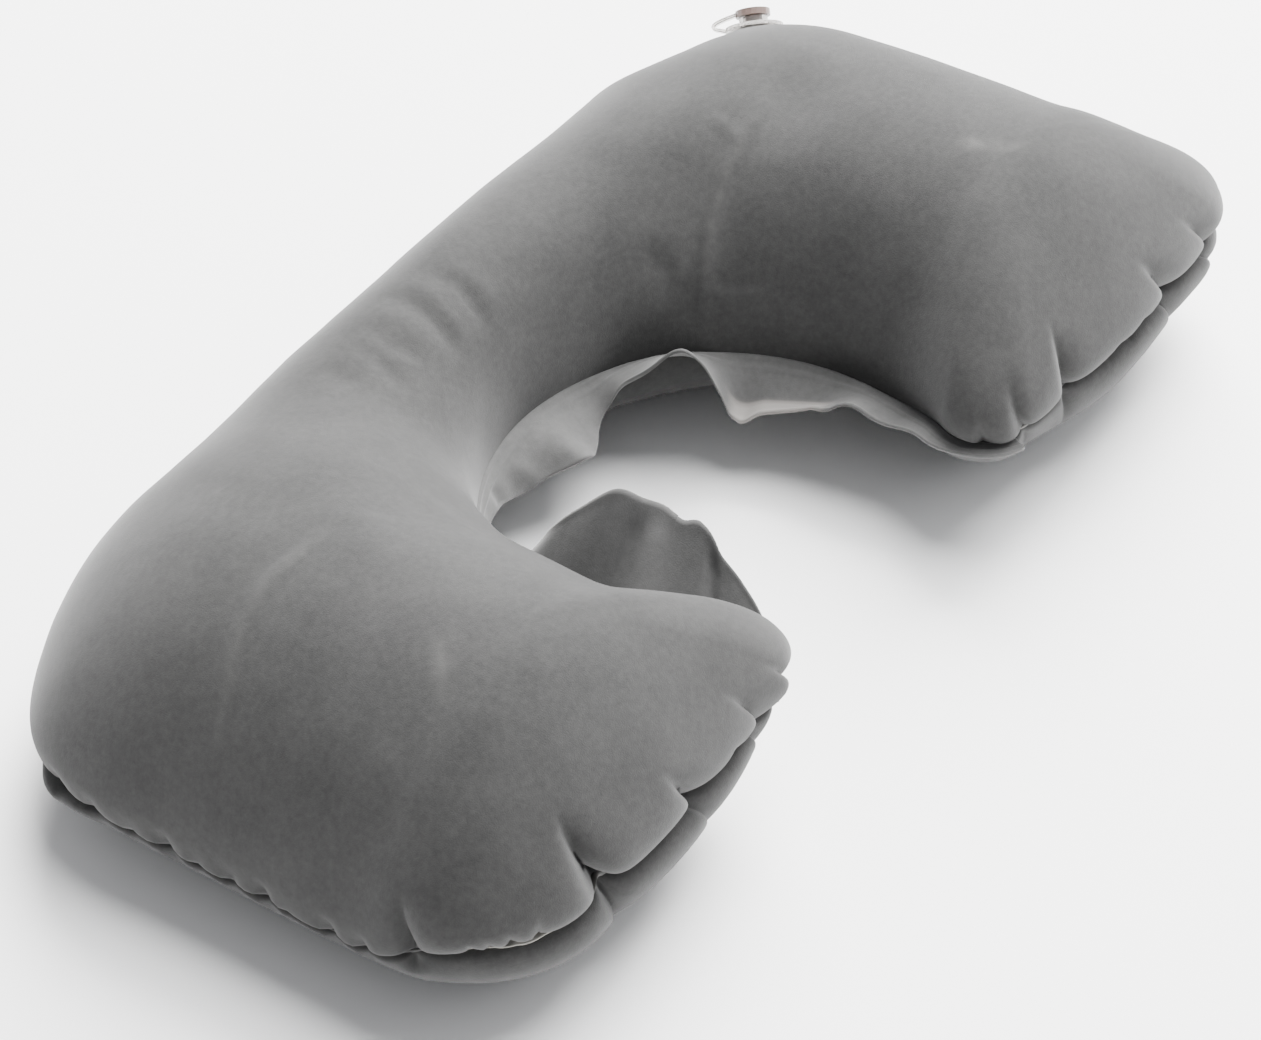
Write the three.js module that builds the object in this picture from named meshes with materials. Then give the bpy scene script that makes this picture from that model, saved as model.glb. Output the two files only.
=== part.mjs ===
// Inflatable U-shaped travel neck pillow, blown up and lying flat on its lower panel.
// Millimetres, +Z up. +X runs along the spine from the near arm to the far arm, +Y points to the nape.
import * as THREE from 'three';
import { mergeVertices } from 'three/addons/utils/BufferGeometryUtils.js';

// Driving sizes of the weld line seen from above
const WIDTH = 420;
const DEPTH = 208;
const NEAR_SPLAY = 1;
const FAR_SPLAY = 4;
const NECK_RADIUS = 77;
const SPINE_WIDTH = 67;
const INNER_TIP_ROUND = 15;
const NEAR_TIP_ROUND = 45;
const FAR_TIP_ROUND = 28;
const NEAR_BACK_ROUND = 78;
const FAR_BACK_ROUND = 70;

// Heights above the surface that it lies on
const ARM_HEIGHT = 100;
const SPINE_HEIGHT = 83;
const ARM_SINK = 8;
const SPINE_LIFT = 5;
const SEAM_HEIGHT = { side: 31, tip: 42, neck: 34, back: 22 };
const SEAM_FACE = 1.6;

// Spokes run from the weld line to a ridge inside the chamber
const RIDGE_INSET = 0.45;
const RIDGE_SQUARENESS = 2.5;
const TIP_CENTRE_Y = -58;
const SPINE_END = 62;
const ARM_START = 136;

// Fullness of a section, where 2 is an ellipse, and the lobe that hangs over the weld line
const TOP_FULLNESS = 1.94;
const BELLY_FULLNESS = { outside: 1.8, armNeck: 1.75, spineNeck: 2.6 };
const LOBE_RISE = 15;
const SIDE_LOBE = 1.5;
const TIP_LOBE = 10;
const INNER_TIP_LOBE = 7;
const NECK_BELLY_LOBE = 3.5;
const INNER_TIP_WIDTH = 78;
const BELLY_SHARE = 0.8;

// How finely the skin is cut into faces
const SIDE_STEP = 10;
const TIP_STEP = 7;
const SECTION_STEPS = [0.06, 0.14, 0.24, 0.37, 0.52, 0.68, 0.85, 1];
const ARC_STEPS = 24;

// Gathers in the weld line: where each one meets it seen from above, how deep it draws the skin in,
// half its width, and how far it runs up the crown
const GATHERS = [
  { x: -207, y: -70, depth: 6, half: 11, reach: 34 },
  { x: -196, y: -91, depth: 4, half: 8, reach: 14 },
  { x: -184, y: -100, depth: 4, half: 8, reach: 14 },
  { x: -165, y: -105, depth: 13, half: 17, reach: 60 },
  { x: -126, y: -105, depth: 10, half: 15, reach: 46 },
  { x: -104, y: -105, depth: 5, half: 9, reach: 20 },
  { x: -86, y: -105, depth: 9, half: 13, reach: 40 },
  { x: -68, y: -102, depth: 7, half: 11, reach: 34 },
  { x: 73, y: -104, depth: 8, half: 13, reach: 40 },
  { x: 101, y: -105, depth: 11, half: 15, reach: 52 },
  { x: 139, y: -105, depth: 5, half: 10, reach: 20 },
  { x: 159, y: -105, depth: 10, half: 14, reach: 46 },
  { x: 188, y: -103, depth: 9, half: 13, reach: 40 },
  { x: 209, y: -86, depth: 5, half: 10, reach: 22 },
];
const SIDE_GATHERS = { from: -50, to: 50, count: 7, depth: 2.6, half: 9, reach: 12 };

// The two creases where the spine meets an arm, from the neck out towards the back corner
const MITRES = [
  { fromX: -66, fromY: 2, toX: -165, toY: 78, depth: 4, half: 20 },
  { fromX: 66, fromY: 2, toX: 160, toY: 84, depth: 6, half: 18 },
];

// The narrow weld flange outside the weld line
const FLANGE = { gap: 0.4, width: 3, thick: 1.0 };

// The neck skirt. Its waves: share of the way round the neck from the near arm to the far one, its width
// there, its slope at the weld above level, and how much the slope has changed by its free edge, in degrees
const SKIRT = { gap: 0.45, thick: 1.2, steps: 5 };
const SKIRT_WAVES = [
  { at: 0.0, width: 10, slope: 20, curl: 0 },
  { at: 0.03, width: 20, slope: 36, curl: 24 },
  { at: 0.055, width: 37, slope: 58, curl: 14 },
  { at: 0.085, width: 48, slope: 62, curl: 0 },
  { at: 0.12, width: 47, slope: 55, curl: 0 },
  { at: 0.155, width: 49, slope: 57, curl: -4 },
  { at: 0.185, width: 51, slope: 62, curl: -6 },
  { at: 0.22, width: 40, slope: 58, curl: -6 },
  { at: 0.26, width: 24, slope: 48, curl: -6 },
  { at: 0.31, width: 12, slope: 4, curl: -10 },
  { at: 0.37, width: 10, slope: -32, curl: -10 },
  { at: 0.44, width: 16, slope: -34, curl: -8 },
  { at: 0.5, width: 24, slope: -26, curl: -8 },
  { at: 0.55, width: 25, slope: -34, curl: -4 },
  { at: 0.6, width: 20, slope: 16, curl: 6 },
  { at: 0.645, width: 32, slope: 36, curl: 6 },
  { at: 0.69, width: 27, slope: 26, curl: 4 },
  { at: 0.735, width: 22, slope: -34, curl: -10 },
  { at: 0.77, width: 22, slope: -22, curl: 14 },
  { at: 0.83, width: 18, slope: -6, curl: 30 },
  { at: 0.88, width: 17, slope: 14, curl: 26 },
  { at: 0.93, width: 11, slope: -16, curl: 10 },
  { at: 0.97, width: 9, slope: 0, curl: 0 },
  { at: 1.0, width: 5, slope: 0, curl: 0 },
];

// The valve on the upper panel behind the far back corner, its stopper and its strap
const VALVE = { x: 182, y: 66, flange: 10, flangeThick: 1.2, tube: 5, bore: 3.4, height: 3, tetherTurn: 120 };
const PLUG = { head: 6, headThick: 2.2, pin: 3, pinLength: 2.8 };
const TETHER = { width: 3.4, thick: 1.1, bow: 9, steps: 10 };
const FIT_GAP = 0.35;
const END_GAP = 0.5;
const INNER_TIP_FEET = 5;
const ROUND_STEPS = 20;

const FILM_GREY = 0x8d8f90;
const SKIRT_GREY = 0x9b9d9d;
const FLANGE_BEIGE = 0xb5b0a6;
const CLEAR_VINYL = 0xd9d3cb;
const PLUG_ROSE = 0xb9a49c;

const backY = DEPTH / 2;
const tipY = -DEPTH / 2;
const neckY = backY - SPINE_WIDTH - NECK_RADIUS;
const ridgeX = NECK_RADIUS + (WIDTH / 2 - NECK_RADIUS) * RIDGE_INSET;
const ridgeBackY = backY - SPINE_WIDTH / 2;

const radians = (degrees) => (degrees * Math.PI) / 180;
const degrees = (angle) => (angle * 180) / Math.PI;
const mix = (a, b, share) => a + (b - a) * share;
const ramp = (low, high, value) => {
  const t = Math.min(1, Math.max(0, (value - low) / (high - low)));
  return t * t * (3 - 2 * t);
};

function arc(centreX, centreY, radius, from, to) {
  const points = [];
  for (let i = 0; i <= ARC_STEPS; i += 1) {
    const angle = radians(mix(from, to, i / ARC_STEPS));
    points.push([centreX + radius * Math.cos(angle), centreY + radius * Math.sin(angle)]);
  }
  return points;
}

// The weld line round one tip seen from above, from the neck side out to the outer side
function tipRun(side) {
  const outerX = WIDTH / 2 + (side < 0 ? NEAR_SPLAY : FAR_SPLAY);
  const outerRound = side < 0 ? NEAR_TIP_ROUND : FAR_TIP_ROUND;
  const innerY = tipY + INNER_TIP_ROUND;
  const innerX = Math.sqrt((NECK_RADIUS + INNER_TIP_ROUND) ** 2 - (innerY - neckY) ** 2);
  const neckTop = degrees(Math.asin((TIP_CENTRE_Y - neckY) / NECK_RADIUS));
  const neckEnd = degrees(Math.atan2(innerY - neckY, innerX));
  const run = [
    ...arc(0, neckY, NECK_RADIUS, neckTop, neckEnd),
    ...arc(innerX, innerY, INNER_TIP_ROUND, neckEnd + 180, 270),
    ...arc(outerX - outerRound, tipY + outerRound, outerRound, 270, 360),
    [outerX, TIP_CENTRE_Y],
  ];
  return run.map(([x, y]) => [side * x, y]);
}

// The weld line outside, from the near arm round the back to the far arm
function backRun() {
  return [
    [-WIDTH / 2 - NEAR_SPLAY, TIP_CENTRE_Y],
    ...arc(-WIDTH / 2 + NEAR_BACK_ROUND, backY - NEAR_BACK_ROUND, NEAR_BACK_ROUND, 180, 90),
    ...arc(WIDTH / 2 - FAR_BACK_ROUND, backY - FAR_BACK_ROUND, FAR_BACK_ROUND, 90, 0),
    [WIDTH / 2 + FAR_SPLAY, TIP_CENTRE_Y],
  ];
}

// Points spaced evenly along an open run, both ends kept
function evenly(run, step) {
  const lengths = [0];
  for (let i = 1; i < run.length; i += 1) {
    lengths.push(lengths[i - 1] + Math.hypot(run[i][0] - run[i - 1][0], run[i][1] - run[i - 1][1]));
  }
  const total = lengths[lengths.length - 1];
  const count = Math.round(total / step);
  const points = [];
  let k = 1;
  for (let i = 0; i <= count; i += 1) {
    const at = (total * i) / count;
    while (k < run.length - 1 && lengths[k] < at) k += 1;
    const share = (at - lengths[k - 1]) / (lengths[k] - lengths[k - 1]);
    points.push([mix(run[k - 1][0], run[k][0], share), mix(run[k - 1][1], run[k][1], share)]);
  }
  return points;
}

// The ridge point and the neck weld point that face a point of the outer weld line
function across([x, y]) {
  const side = x < 0 ? -1 : 1;
  if (y <= neckY) {
    return { ridge: [side * ridgeX, y], neck: [side * Math.sqrt(NECK_RADIUS ** 2 - (y - neckY) ** 2), y] };
  }
  const away = Math.hypot(x, y - neckY);
  const cos = x / away;
  const sin = (y - neckY) / away;
  const n = RIDGE_SQUARENESS;
  const reach = (Math.abs(cos / ridgeX) ** n + Math.abs(sin / (ridgeBackY - neckY)) ** n) ** (-1 / n);
  return {
    ridge: [cos * reach, neckY + sin * reach],
    neck: [cos * NECK_RADIUS, neckY + sin * NECK_RADIUS],
  };
}

// All spokes in order round the weld line: outer side, far tip, neck side, near tip.
// Each has its foot on the weld line, its ridge point, and how far it belongs to the neck side.
function layOutSpokes() {
  const outer = evenly(backRun(), SIDE_STEP);
  const pairs = outer.map((foot) => ({ foot, ...across(foot) }));
  const neckShare = ([x]) => ramp(ridgeX, NECK_RADIUS, Math.abs(x));
  const tip = (side) => {
    const feet = evenly(tipRun(side), TIP_STEP).slice(1, -1);
    return feet.map((foot) => ({ foot, ridge: [side * ridgeX, TIP_CENTRE_Y], neckness: neckShare(foot) }));
  };
  return [
    ...pairs.map(({ foot, ridge }) => ({ foot, ridge, neckness: 0 })),
    ...tip(1).reverse(),
    ...pairs.reverse().map(({ neck, ridge }) => ({ foot: neck, ridge, neckness: 1 })),
    ...tip(-1),
  ];
}

// How much of a point's setting is tip, from 0 up the arm to 1 at its end
const tipShare = (y) => ramp(tipY + 55, tipY + 12, y);

function seamHeight({ foot, neckness }) {
  const [, y] = foot;
  const atBack = ramp(backY - 70, backY - 10, y);
  const outside = mix(SEAM_HEIGHT.side, SEAM_HEIGHT.back, atBack);
  return mix(mix(outside, SEAM_HEIGHT.neck, neckness), SEAM_HEIGHT.tip, tipShare(y));
}

// The gathers of the table and the even row of small ones along each long side
function layOutGathers() {
  const gathers = [...GATHERS];
  for (let i = 0; i < SIDE_GATHERS.count; i += 1) {
    const y = mix(SIDE_GATHERS.from, SIDE_GATHERS.to, i / (SIDE_GATHERS.count - 1));
    [-WIDTH / 2, WIDTH / 2].forEach((x) => gathers.push({ ...SIDE_GATHERS, x, y }));
  }
  return gathers;
}

const gathers = layOutGathers();

// How deep the gathers draw in the skin above a foot of the weld line, at a path length up from it
function gatherDepth([x, y], path) {
  let depth = 0;
  gathers.forEach((gather) => {
    const off = Math.hypot(x - gather.x, y - gather.y) / gather.half;
    if (off >= 1 || path >= gather.reach) return;
    const fade = 1 - ramp(gather.reach * 0.25, gather.reach, path);
    depth += gather.depth * (1 - off) ** 1.6 * fade;
  });
  return depth * (1 - Math.exp(-path / 4));
}

// How far a mitre crease lowers the crown at a place seen from above
function mitreDepth(x, y) {
  let depth = 0;
  MITRES.forEach(({ fromX, fromY, toX, toY, depth: most, half }) => {
    const length = Math.hypot(toX - fromX, toY - fromY);
    const along = ((x - fromX) * (toX - fromX) + (y - fromY) * (toY - fromY)) / length ** 2;
    const off = Math.abs((x - fromX) * (toY - fromY) - (y - fromY) * (toX - fromX)) / length / half;
    if (off >= 1) return;
    const ends = ramp(0, 0.25, along) * (1 - ramp(0.75, 1.1, along));
    depth += most * ends * (1 - off) ** 2;
  });
  return depth;
}

// Share of a tip spoke's length at which the round contour inside the tip meets it. The contour is half an
// ellipse about the tip's centre, which takes the corners out of the crown above the square tip.
function roundShare({ foot, ridge }) {
  if (foot[1] >= TIP_CENTRE_Y) return 1;
  const [dx, dy] = [foot[0] - ridge[0], foot[1] - ridge[1]];
  const outer = foot[0] * ridge[0] > 0 && Math.abs(foot[0]) > ridgeX;
  const halfWidth = outer ? WIDTH / 2 - ridgeX : INNER_TIP_WIDTH;
  return Math.min(1, 1 / Math.hypot(dx / halfWidth, dy / (TIP_CENTRE_Y - tipY)));
}

// A point of the skin on a spoke, from 0 at the weld line to 1 at the ridge
function skinPoint(spoke, share, isTop) {
  const { foot, ridge, neckness } = spoke;
  const seam = seamHeight(spoke) + (isTop ? SEAM_FACE : -SEAM_FACE) / 2;
  const arm = ramp(SPINE_END, ARM_START, Math.abs(ridge[0]));
  const crown = mix(SPINE_HEIGHT, ARM_HEIGHT, arm);
  const belly = mix(SPINE_LIFT, -ARM_SINK, arm);
  const atNeck = mix(BELLY_FULLNESS.spineNeck, BELLY_FULLNESS.armNeck, arm);
  const bellyFullness = mix(BELLY_FULLNESS.outside, atNeck, neckness);
  const power = 2 / (isTop ? TOP_FULLNESS : bellyFullness);
  const turn = radians(90 * share);
  const length = Math.hypot(ridge[0] - foot[0], ridge[1] - foot[1]);
  const run = length * (1 - Math.max(0, Math.cos(turn)) ** power);
  const rise = Math.abs((isTop ? crown : belly) - seam) * Math.sin(turn) ** power;
  const lobeSize = isTop
    ? mix(mix(SIDE_LOBE, 0, neckness), mix(TIP_LOBE, INNER_TIP_LOBE, neckness), tipShare(foot[1]))
    : mix(mix(SIDE_LOBE, TIP_LOBE, tipShare(foot[1])) * BELLY_SHARE, NECK_BELLY_LOBE * (1 - arm), neckness);
  const tall = rise / LOBE_RISE;
  const lobe = lobeSize * tall * Math.exp(1 - tall);
  const gather = gatherDepth(foot, Math.hypot(run, rise)) * (isTop ? 1 : BELLY_SHARE) * (1 - neckness);
  const squareness = mix(1, roundShare(spoke), ramp(0, 0.8, share));
  const inward = 1 - (1 - (run - lobe + gather * Math.cos(turn)) / length) * squareness;
  const x = mix(foot[0], ridge[0], share === 1 ? 1 : inward);
  const y = mix(foot[1], ridge[1], share === 1 ? 1 : inward);
  const height = isTop
    ? seam + rise - gather * Math.sin(turn) - mitreDepth(x, y)
    : Math.max(0, seam - rise + gather * Math.sin(turn));
  return [x, y, height];
}

// A closed body from rows of points, each row a closed loop, with end rows that fold shut or are capped
function bodyFromRows(rows, closedLoop, closedRows) {
  const positions = rows.flat(2);
  const index = [];
  const count = rows[0].length;
  const loopEnd = closedLoop ? count : count - 1;
  const rowEnd = closedRows ? rows.length : rows.length - 1;
  for (let r = 0; r < rowEnd; r += 1) {
    for (let i = 0; i < loopEnd; i += 1) {
      const a = r * count + i;
      const b = r * count + ((i + 1) % count);
      const c = ((r + 1) % rows.length) * count + ((i + 1) % count);
      const d = ((r + 1) % rows.length) * count + i;
      index.push(a, c, b, a, d, c);
    }
  }
  return { positions, index };
}

function toGeometry({ positions, index }) {
  const raw = new THREE.BufferGeometry();
  raw.setAttribute('position', new THREE.Float32BufferAttribute(positions, 3));
  raw.setIndex(index);
  const merged = mergeVertices(raw, 1e-4);
  const kept = [];
  const corners = merged.index.array;
  for (let i = 0; i < corners.length; i += 3) {
    const [a, b, c] = [corners[i], corners[i + 1], corners[i + 2]];
    if (a !== b && b !== c && a !== c) kept.push(a, b, c);
  }
  merged.setIndex(kept);
  merged.computeVertexNormals();
  return merged;
}

function chamberGeometry(spokes) {
  const rows = [];
  [...SECTION_STEPS].reverse().forEach((share) => rows.push(spokes.map((s) => skinPoint(s, share, false))));
  [-SEAM_FACE / 2, SEAM_FACE / 2].forEach((off) => {
    rows.push(spokes.map((s) => [...s.foot, seamHeight(s) + off]));
  });
  SECTION_STEPS.forEach((share) => rows.push(spokes.map((s) => skinPoint(s, share, true))));
  return toGeometry(bodyFromRows(rows, true, false));
}

// Directions to the left of a run of spokes, stretched at bends so that an offset keeps its width
function leftOf(run) {
  return run.map((spoke, i) => {
    const before = run[Math.max(0, i - 1)].foot;
    const after = run[Math.min(run.length - 1, i + 1)].foot;
    const here = spoke.foot;
    const normals = [[before, here], [here, after]].map(([a, b]) => {
      const length = Math.hypot(b[0] - a[0], b[1] - a[1]);
      return length > 0 ? [-(b[1] - a[1]) / length, (b[0] - a[0]) / length] : null;
    }).filter((normal) => normal);
    const sum = [0, 1].map((axis) => normals.reduce((total, normal) => total + normal[axis], 0));
    const size = Math.hypot(...sum);
    const stretch = normals.length / size;
    return [(sum[0] / size) * stretch, (sum[1] / size) * stretch];
  });
}

// A strip made of section loops along its run. A loop lists one face outwards, then the other face back.
function stripGeometry(loops) {
  const rows = loops[0].map((_, k) => loops.map((loop) => loop[k]));
  const { positions, index } = bodyFromRows(rows, false, true);
  const count = loops.length;
  const last = rows.length - 1;
  const capQuad = (column, k, flip) => {
    const [a, b, c, d] = [k, last - k, last - k - 1, k + 1].map((row) => row * count + column);
    if (flip) index.push(a, c, b, a, d, c);
    else index.push(a, b, c, a, c, d);
  };
  for (let k = 0; k < (last - 1) / 2; k += 1) {
    capQuad(0, k, false);
    capQuad(count - 1, k, true);
  }
  return toGeometry({ positions, index });
}

function flangeGeometry(run) {
  const { gap, width, thick } = FLANGE;
  const outward = leftOf(run);
  const loops = run.map((spoke, i) => {
    const at = (off, up) => [
      spoke.foot[0] + outward[i][0] * off,
      spoke.foot[1] + outward[i][1] * off,
      seamHeight(spoke) + up,
    ];
    return [at(gap, -thick / 2), at(gap + width, -thick / 2), at(gap + width, thick / 2), at(gap, thick / 2)];
  });
  return stripGeometry(loops);
}

// The skirt's width, slope and curl at a share of the way round, eased from row to row
function waveAt(share) {
  let k = 0;
  while (k < SKIRT_WAVES.length - 2 && SKIRT_WAVES[k + 1].at < share) k += 1;
  const [a, b] = [SKIRT_WAVES[k], SKIRT_WAVES[k + 1]];
  const t = ramp(a.at, b.at, share);
  return { width: mix(a.width, b.width, t), slope: mix(a.slope, b.slope, t), curl: mix(a.curl, b.curl, t) };
}

// How far along a run of spokes each one lies, from 0 to 1
function sharesAlong(run) {
  const walked = [0];
  for (let i = 1; i < run.length; i += 1) {
    const [a, b] = [run[i - 1].foot, run[i].foot];
    walked.push(walked[i - 1] + Math.hypot(b[0] - a[0], b[1] - a[1]));
  }
  return walked.map((length) => length / walked[walked.length - 1]);
}

function skirtGeometry(run) {
  const inward = leftOf(run);
  const shares = sharesAlong(run);
  const half = SKIRT.thick / 2;
  const loops = run.map((spoke, i) => {
    const wave = waveAt(1 - shares[i]);
    const upper = [];
    const lower = [];
    let off = SKIRT.gap + half;
    let up = 0;
    for (let k = 0; k <= SKIRT.steps; k += 1) {
      const slope = radians(wave.slope + (wave.curl * k) / SKIRT.steps);
      const place = (side) => {
        const out = off - side * half * Math.sin(slope);
        const [x, y] = [spoke.foot[0] + inward[i][0] * out, spoke.foot[1] + inward[i][1] * out];
        return [x, y, seamHeight(spoke) + up + side * half * Math.cos(slope)];
      };
      upper.push(place(1));
      lower.push(place(-1));
      off += (wave.width / SKIRT.steps) * Math.cos(slope);
      up += (wave.width / SKIRT.steps) * Math.sin(slope);
    }
    return [...lower, ...upper.reverse()];
  });
  return stripGeometry(loops);
}

// A body turned about +Z from a profile of radius and height that starts and ends on the axis
function turned(profile) {
  const lathe = new THREE.LatheGeometry(profile.map(([r, z]) => new THREE.Vector2(r, z)), ROUND_STEPS);
  lathe.rotateX(Math.PI / 2);
  return toGeometry({ positions: [...lathe.attributes.position.array], index: [...lathe.index.array] });
}

function valveBaseGeometry() {
  const { flange, flangeThick, tube, bore, height } = VALVE;
  const top = flangeThick + height;
  return turned([
    [0, 0], [flange, 0], [flange, flangeThick], [tube, flangeThick], [tube, top],
    [bore, top], [bore, flangeThick], [0, flangeThick],
  ]);
}

function valvePlugGeometry() {
  const { head, headThick, pin, pinLength } = PLUG;
  const seat = VALVE.flangeThick + VALVE.height + FIT_GAP;
  return turned([
    [0, seat - pinLength], [pin, seat - pinLength], [pin, seat],
    [head, seat], [head, seat + headThick], [0, seat + headThick],
  ]);
}

// The strap bows from the flange's rim out and up to the side of the stopper's head
function tetherGeometry() {
  const { width, thick, bow, steps } = TETHER;
  const headMiddle = VALVE.flangeThick + VALVE.height + FIT_GAP + PLUG.headThick / 2;
  const route = new THREE.QuadraticBezierCurve(
    new THREE.Vector2(VALVE.flange + FIT_GAP + thick / 2, VALVE.flangeThick / 2 + 0.3),
    new THREE.Vector2(VALVE.flange + bow, headMiddle / 2),
    new THREE.Vector2(PLUG.head + FIT_GAP, headMiddle),
  );
  const loops = route.getPoints(steps).map((point, i) => {
    const along = route.getTangent(i / steps);
    const at = (side, across) => [
      point.x - (side * along.y * thick) / 2,
      (across * width) / 2,
      point.y + (side * along.x * thick) / 2,
    ];
    return [at(-1, -1), at(-1, 1), at(1, 1), at(1, -1)];
  });
  return stripGeometry(loops);
}

// A frame on the upper panel for the valve: its place, and the turn that stands +Z on the skin
function valveSeat(chamber) {
  const ray = new THREE.Raycaster();
  const down = new THREE.Vector3(0, 0, -1);
  const skinAt = (dx, dy) => {
    ray.set(new THREE.Vector3(VALVE.x + dx, VALVE.y + dy, ARM_HEIGHT * 2), down);
    return ray.intersectObject(chamber)[0].point;
  };
  const r = VALVE.flange;
  const middle = skinAt(0, 0);
  const alongX = skinAt(r, 0).sub(skinAt(-r, 0));
  const alongY = skinAt(0, r).sub(skinAt(0, -r));
  const normal = alongX.cross(alongY).normalize();
  let proud = 0;
  for (let i = 0; i < ROUND_STEPS; i += 1) {
    const angle = (2 * Math.PI * i) / ROUND_STEPS;
    [0.5, 1].forEach((share) => {
      const spot = skinAt(r * share * Math.cos(angle), r * share * Math.sin(angle));
      proud = Math.max(proud, spot.sub(middle).dot(normal));
    });
  }
  const place = middle.addScaledVector(normal, proud + FIT_GAP);
  const turn = new THREE.Quaternion().setFromUnitVectors(new THREE.Vector3(0, 0, 1), normal);
  return { place, turn };
}

function piece(name, geometry, color, roughness) {
  const mesh = new THREE.Mesh(geometry, new THREE.MeshStandardMaterial({ color, roughness, metalness: 0 }));
  mesh.name = name;
  return mesh;
}

// The spokes of the outer weld line, and those of the neck, which share the inner tip corners
function splitRuns(spokes) {
  const tipCount = spokes.filter(({ ridge, foot }) => ridge[0] < 0 && foot[1] < TIP_CENTRE_Y).length;
  const farCount = spokes.filter(({ ridge, foot }) => ridge[0] > 0 && foot[1] < TIP_CENTRE_Y).length;
  const pairCount = (spokes.length - tipCount - farCount) / 2;
  const nearTip = spokes.slice(-tipCount);
  const outer = spokes.slice(0, pairCount);
  const farTip = spokes.slice(pairCount, pairCount + farCount);
  const neck = spokes.slice(pairCount + farCount, -tipCount);
  const lead = INNER_TIP_FEET;
  const nearEnd = pushed(nearTip[lead], nearTip[lead + 1]);
  const farEnd = pushed(farTip[farCount - 1 - lead], farTip[farCount - 2 - lead]);
  return {
    outerRun: [nearEnd, ...nearTip.slice(lead + 1), ...outer, ...farTip.slice(0, farCount - 1 - lead), farEnd],
    neckRun: [...farTip.slice(farCount - 1 - lead), ...neck, ...nearTip.slice(0, lead + 1)],
  };
}

// A spoke whose foot is moved a small step from one foot towards the next
function pushed(spoke, next) {
  const length = Math.hypot(next.foot[0] - spoke.foot[0], next.foot[1] - spoke.foot[1]);
  const share = END_GAP / length;
  const foot = [mix(spoke.foot[0], next.foot[0], share), mix(spoke.foot[1], next.foot[1], share)];
  return { ...spoke, foot };
}

const spokes = layOutSpokes();
const { outerRun: flangeRun, neckRun } = splitRuns(spokes);
const chamber = piece('chamber', chamberGeometry(spokes), FILM_GREY, 0.95);
const flange = piece('weld_flange', flangeGeometry(flangeRun), FLANGE_BEIGE, 0.6);
const skirt = piece('neck_skirt', skirtGeometry(neckRun), SKIRT_GREY, 0.95);

const valve = new THREE.Group();
valve.add(
  piece('valve_base', valveBaseGeometry(), CLEAR_VINYL, 0.3),
  piece('valve_plug', valvePlugGeometry(), PLUG_ROSE, 0.3),
  piece('valve_tether', tetherGeometry(), CLEAR_VINYL, 0.3),
);
const seat = valveSeat(chamber);
valve.position.copy(seat.place);
valve.quaternion.copy(seat.turn).multiply(
  new THREE.Quaternion().setFromAxisAngle(new THREE.Vector3(0, 0, 1), radians(VALVE.tetherTurn)),
);

// The origin is the middle of the underside of the whole pillow's box
const pillow = new THREE.Group();
pillow.add(chamber, flange, skirt, valve);
pillow.updateMatrixWorld(true);
const box = new THREE.Box3().setFromObject(pillow, true);
pillow.position.set(-(box.min.x + box.max.x) / 2, -(box.min.y + box.max.y) / 2, 0);

export default pillow;
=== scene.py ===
# The looks of an inflatable U-shaped neck pillow of flocked vinyl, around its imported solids.
# Sizes of the form are in millimetres, in the plan frame of the weld line; objects are in metres.
import math

import bmesh
import bpy
import numpy as np
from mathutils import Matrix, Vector
from mathutils.kdtree import KDTree


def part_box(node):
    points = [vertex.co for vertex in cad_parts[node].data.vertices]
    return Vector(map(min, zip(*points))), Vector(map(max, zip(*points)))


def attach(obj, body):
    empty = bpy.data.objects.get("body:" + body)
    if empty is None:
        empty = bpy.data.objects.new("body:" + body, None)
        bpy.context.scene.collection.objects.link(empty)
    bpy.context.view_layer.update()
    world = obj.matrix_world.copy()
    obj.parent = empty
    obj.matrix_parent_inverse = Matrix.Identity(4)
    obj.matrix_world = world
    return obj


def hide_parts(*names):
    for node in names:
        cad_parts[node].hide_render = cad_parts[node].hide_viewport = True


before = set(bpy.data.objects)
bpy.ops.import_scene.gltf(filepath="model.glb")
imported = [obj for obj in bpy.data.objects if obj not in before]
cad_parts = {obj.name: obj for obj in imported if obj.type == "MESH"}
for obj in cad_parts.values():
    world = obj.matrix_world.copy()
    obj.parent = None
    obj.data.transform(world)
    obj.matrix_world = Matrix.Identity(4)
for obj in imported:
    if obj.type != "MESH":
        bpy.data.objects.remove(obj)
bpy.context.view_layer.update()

# The weld line seen from above
WIDTH = 420
DEPTH = 208
NEAR_SPLAY = 1
FAR_SPLAY = 4
NECK_RADIUS = 77
SPINE_WIDTH = 67
INNER_TIP_ROUND = 15
NEAR_TIP_ROUND = 45
FAR_TIP_ROUND = 28
NEAR_BACK_ROUND = 78
FAR_BACK_ROUND = 70

# Heights above the surface that it lies on
ARM_HEIGHT = 100
SPINE_HEIGHT = 83
ARM_SINK = 8
SPINE_LIFT = 5
SEAM_SIDE = 31
SEAM_TIP = 42
SEAM_NECK = 34
SEAM_BACK = 22
SEAM_FACE = 0.8
NEAR_SEAM_DIP = 3.5

# Where one stretch passes into the next: from and to which distance from the tips' or the back's weld line,
# and from and to which x on the near side
TIP_BAND = (55, 12)
INNER_TIP_BAND = (5, 26)
BACK_BAND = (70, 10)
NEAR_SIDE_BAND = (-190, -206)

# Spokes run from the weld line to a ridge inside the chamber
RIDGE_INSET = 0.45
RIDGE_SQUARENESS = 2.5
TIP_CENTRE_Y = -58
SPINE_END = 62
ARM_START = 136
INNER_TIP_WIDTH = 78
TIP_SOFTNESS = 9
TIP_BLEND = 26

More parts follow.
